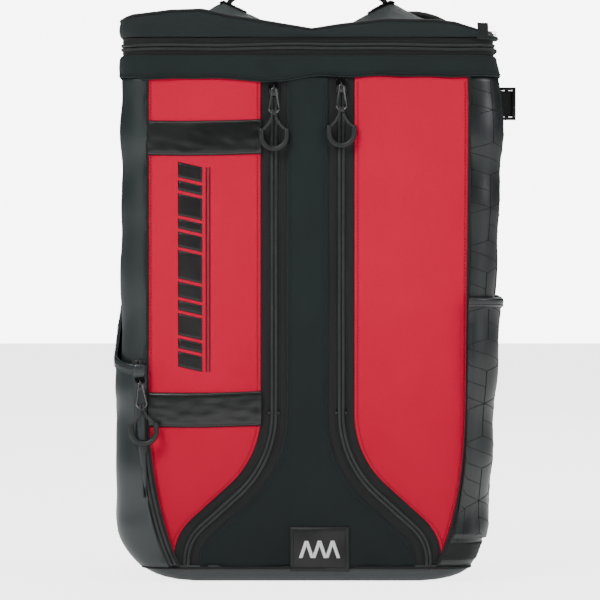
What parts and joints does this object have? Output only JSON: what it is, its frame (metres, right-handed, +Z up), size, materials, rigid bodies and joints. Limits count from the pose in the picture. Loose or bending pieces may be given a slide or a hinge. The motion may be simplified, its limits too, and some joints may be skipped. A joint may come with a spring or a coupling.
{
  "type": "ski boot bag",
  "caption": "Boxy padded boot bag carried as a backpack, with curved front zips, a hinged zipped lid, side pockets, a haul handle and shoulder straps.",
  "frame": {"origin": "centre of the flat base, on the surface that the bag stands on", "axes": "+Z up, -Y out of the front panels, +X to the right of someone who faces the front"},
  "size_m": [0.381, 0.2579, 0.56],
  "materials": {
    "coloured_cloth": "plain-weave coated polyester, satin",
    "dark_cloth": "plain-weave polyester, greenish black",
    "coated_cloth": "smooth polyurethane-coated cloth, half gloss",
    "embossed_cloth": "polyurethane-coated cloth embossed with broken lines, half gloss",
    "gloss_strip": "smooth coated strip, gloss",
    "zip_tape": "woven polyester tape, matt",
    "zip_coil": "nylon coil, satin",
    "slider_metal": "black lacquered zinc",
    "ring_wire": "black lacquered steel wire",
    "pull_cord": "soft black tube over braided cord",
    "webbing": "ribbed polyester webbing",
    "buckle_plastic": "moulded acetal, fine grain",
    "lining_cloth": "thin plain lining, grey",
    "board": "polyethylene sheet",
    "foam_mesh": "spacer mesh over foam",
    "patch_rubber": "moulded rubber patch, matt"
  },
  "bodies": {
    "bag": {"base_panel": "coated_cloth", "base_board": "board", "back_panel": "dark_cloth", "frame_sheet": "board", "left_side_panel": "coated_cloth", "right_side_panel": "embossed_cloth", "front_left_panel": "coloured_cloth", "front_right_panel": "coloured_cloth", "front_centre_panel": "dark_cloth", "front_left_tape": "zip_tape", "front_right_tape": "zip_tape", "front_left_coil": "zip_coil", "front_right_coil": "zip_coil", "zip_stops": "slider_metal", "top_band": "dark_cloth", "lid_lower_tape": "zip_tape", "lid_lower_coil": "zip_coil", "rear_yoke": "dark_cloth", "boot_divider": "lining_cloth", "main_lining": "lining_cloth", "left_pocket": "coated_cloth", "left_pocket_hem": "dark_cloth", "left_pocket_tape": "zip_tape", "left_pocket_coil": "zip_coil", "right_pocket": "embossed_cloth", "right_pocket_hem": "dark_cloth", "upper_strip": "gloss_strip", "lower_strip": "gloss_strip", "patch": "patch_rubber", "corner_webbing": "webbing", "left_back_pad": "foam_mesh", "right_back_pad": "foam_mesh", "strap_anchors": "webbing", "handle_anchors": "webbing"},
    "lid": {"lid_top": "dark_cloth", "lid_skirt": "dark_cloth", "lid_upper_tape": "zip_tape", "lid_upper_coil": "zip_coil", "lid_tab": "webbing"},
    "front_left_runner": {"front_left_slider": "slider_metal"},
    "front_left_link": {"front_left_ring": "ring_wire"},
    "front_left_loop": {"front_left_pull": "pull_cord"},
    "front_right_runner": {"front_right_slider": "slider_metal"},
    "front_right_link": {"front_right_ring": "ring_wire"},
    "front_right_loop": {"front_right_pull": "pull_cord"},
    "pocket_runner": {"pocket_slider": "slider_metal"},
    "pocket_link": {"pocket_ring": "ring_wire"},
    "pocket_loop": {"pocket_pull": "pull_cord"},
    "lid_front_runner": {"lid_front_slider": "slider_metal"},
    "lid_front_loop": {"lid_front_pull": "pull_cord"},
    "lid_rear_runner": {"lid_rear_slider": "slider_metal"},
    "lid_rear_loop": {"lid_rear_pull": "pull_cord"},
    "side_strap": {"side_strap": "webbing"},
    "buckle": {"slider_buckle": "buckle_plastic"},
    "handle": {"haul_handle": "webbing"},
    "left_strap": {"left_strap_pad": "foam_mesh", "left_strap_webbing": "webbing"},
    "right_strap": {"right_strap_pad": "foam_mesh", "right_strap_webbing": "webbing"}
  },
  "joints": [
    {"name": "lid_hinge", "type": "hinge", "parent": "bag", "child": "lid", "pos_m": [0, 0.06, 0.522], "axis": [-1, 0, 0], "range_deg": [0, 90]},
    {"name": "front_left_zip", "type": "slide", "parent": "bag", "child": "front_left_runner", "axis": [0, 0, -1], "range_m": [0, 0.286]},
    {"name": "front_left_ring_swing", "type": "hinge", "parent": "front_left_runner", "child": "front_left_link", "pos_m": [-0.031, -0.1092, 0.4545], "axis": [-1, 0, 0], "range_deg": [0, 100]},
    {"name": "front_left_pull_swing", "type": "hinge", "parent": "front_left_link", "child": "front_left_loop", "pos_m": [-0.031, -0.1092, 0.4315], "axis": [-1, 0, 0], "range_deg": [0, 75]},
    {"name": "front_right_zip", "type": "slide", "parent": "bag", "child": "front_right_runner", "axis": [0, 0, -1], "range_m": [0, 0.289]},
    {"name": "front_right_ring_swing", "type": "hinge", "parent": "front_right_runner", "child": "front_right_link", "pos_m": [0.031, -0.1092, 0.4575], "axis": [-1, 0, 0], "range_deg": [0, 100]},
    {"name": "front_right_pull_swing", "type": "hinge", "parent": "front_right_link", "child": "front_right_loop", "pos_m": [0.031, -0.1092, 0.4345], "axis": [-1, 0, 0], "range_deg": [0, 75]},
    {"name": "pocket_zip", "type": "slide", "parent": "bag", "child": "pocket_runner", "axis": [0.0772, 0, -0.997], "range_m": [0, 0.07]},
    {"name": "pocket_ring_swing", "type": "hinge", "parent": "pocket_runner", "child": "pocket_link", "pos_m": [-0.15384, -0.1142, 0.18356], "axis": [-0.997, 0, -0.0772], "range_deg": [0, 100]},
    {"name": "pocket_pull_swing", "type": "hinge", "parent": "pocket_link", "child": "pocket_loop", "pos_m": [-0.15207, -0.1142, 0.16063], "axis": [-0.997, 0, -0.0772], "range_deg": [0, 75]},
    {"name": "lid_front_zip", "type": "slide", "parent": "bag", "child": "lid_front_runner", "axis": [0, -1, 0], "range_m": [0, 0.078]},
    {"name": "lid_front_pull_swing", "type": "hinge", "parent": "lid_front_runner", "child": "lid_front_loop", "pos_m": [0.1762, 0.0085, 0.493], "axis": [0, 0, 1], "range_deg": [0, 120]},
    {"name": "lid_rear_zip", "type": "slide", "parent": "bag", "child": "lid_rear_runner", "axis": [0, 1, 0], "range_m": [0, 0.026]},
    {"name": "lid_rear_pull_swing", "type": "hinge", "parent": "lid_rear_runner", "child": "lid_rear_loop", "pos_m": [0.1762, 0.0255, 0.493], "axis": [0, 0, -1], "range_deg": [0, 120]},
    {"name": "side_strap_sway", "type": "hinge", "parent": "bag", "child": "side_strap", "pos_m": [0.1732, 0.045, 0.446], "axis": [0, 0, 1], "range_deg": [-45, 45], "stiffness_Nm_per_rad": 0.01},
    {"name": "buckle_slide", "type": "slide", "parent": "side_strap", "child": "buckle", "axis": [-1, 0, 0], "range_m": [0, 0.008]},
    {"name": "handle_tilt", "type": "hinge", "parent": "bag", "child": "handle", "pos_m": [0, 0.084, 0.523], "axis": [-1, 0, 0], "range_deg": [-12, 15], "stiffness_Nm_per_rad": 0.02},
    {"name": "right_strap_sway", "type": "hinge", "parent": "bag", "child": "right_strap", "pos_m": [0.0474, 0.11, 0.4825], "axis": [-0.2298, 0, 0.9732], "range_deg": [0, 12]},
    {"name": "left_strap_sway", "type": "hinge", "parent": "bag", "child": "left_strap", "pos_m": [-0.0474, 0.11, 0.4825], "axis": [-0.2298, 0, -0.9732], "range_deg": [0, 12]}
  ]
}
